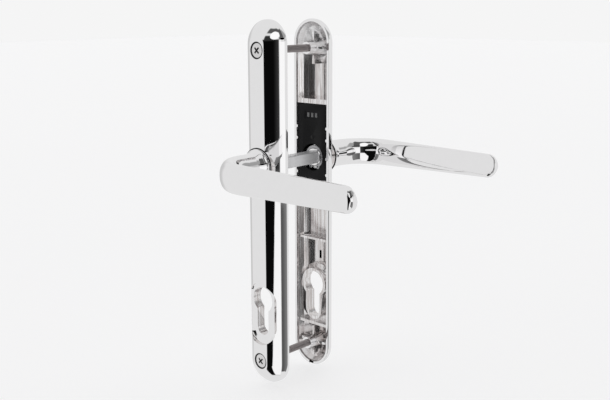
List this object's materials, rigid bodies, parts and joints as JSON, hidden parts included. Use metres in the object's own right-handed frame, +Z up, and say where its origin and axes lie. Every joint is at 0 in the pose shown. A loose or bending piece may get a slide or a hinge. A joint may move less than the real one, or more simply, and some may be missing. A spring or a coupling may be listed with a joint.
{
  "type": "sprung door handle set",
  "caption": "Pair of chrome lever handles on long domed backplates with profile-cylinder cut-outs, joined through the door by a square spindle and long screws.",
  "frame": {"origin": "on the spindle's axis, halfway between the backs of the two plates", "axes": "+Z up along the plates; +X along the levers towards their tips; +Y through the door from the inside plate to the outside plate"},
  "size_m": [0.132, 0.1546, 0.248],
  "materials": {
    "chrome": "polished",
    "steel": "zinc plated",
    "screws": "bright plated",
    "spring_steel": "plain",
    "black_plastic": "moulded"
  },
  "bodies": {
    "plates": {"inside_plate": "chrome", "outside_plate": "chrome", "fixing_screws": "screws", "inside_bush": "black_plastic", "outside_bush": "black_plastic", "inside_case": "black_plastic", "outside_case": "black_plastic", "inside_cover": "black_plastic", "outside_cover": "black_plastic", "inside_pin": "steel", "outside_pin": "steel", "inside_spring": "spring_steel", "outside_spring": "spring_steel"},
    "inside_turning": {"inside_lever": "chrome", "inside_hub": "steel", "inside_washer": "steel", "inside_circlip": "spring_steel", "spindle": "steel"},
    "outside_turning": {"outside_lever": "chrome", "outside_hub": "steel", "outside_washer": "steel", "outside_circlip": "spring_steel"}
  },
  "joints": [
    {"name": "inside_lever_turn", "type": "hinge", "parent": "plates", "child": "inside_turning", "pos_m": [0, -0.032, 0], "axis": [0, 1, 0], "range_deg": [-45, 45], "stiffness_Nm_per_rad": 3, "springref_deg": -2.29, "deforming": ["inside_spring"]},
    {"name": "outside_lever_turn", "type": "hinge", "parent": "plates", "child": "outside_turning", "pos_m": [0, 0.032, 0], "axis": [0, 1, 0], "range_deg": [-45, 45], "stiffness_Nm_per_rad": 3, "springref_deg": -2.29, "deforming": ["outside_spring"]}
  ],
  "couplings": [
    {"joint": "outside_lever_turn", "follows": "inside_lever_turn", "ratio": 1}
  ]
}
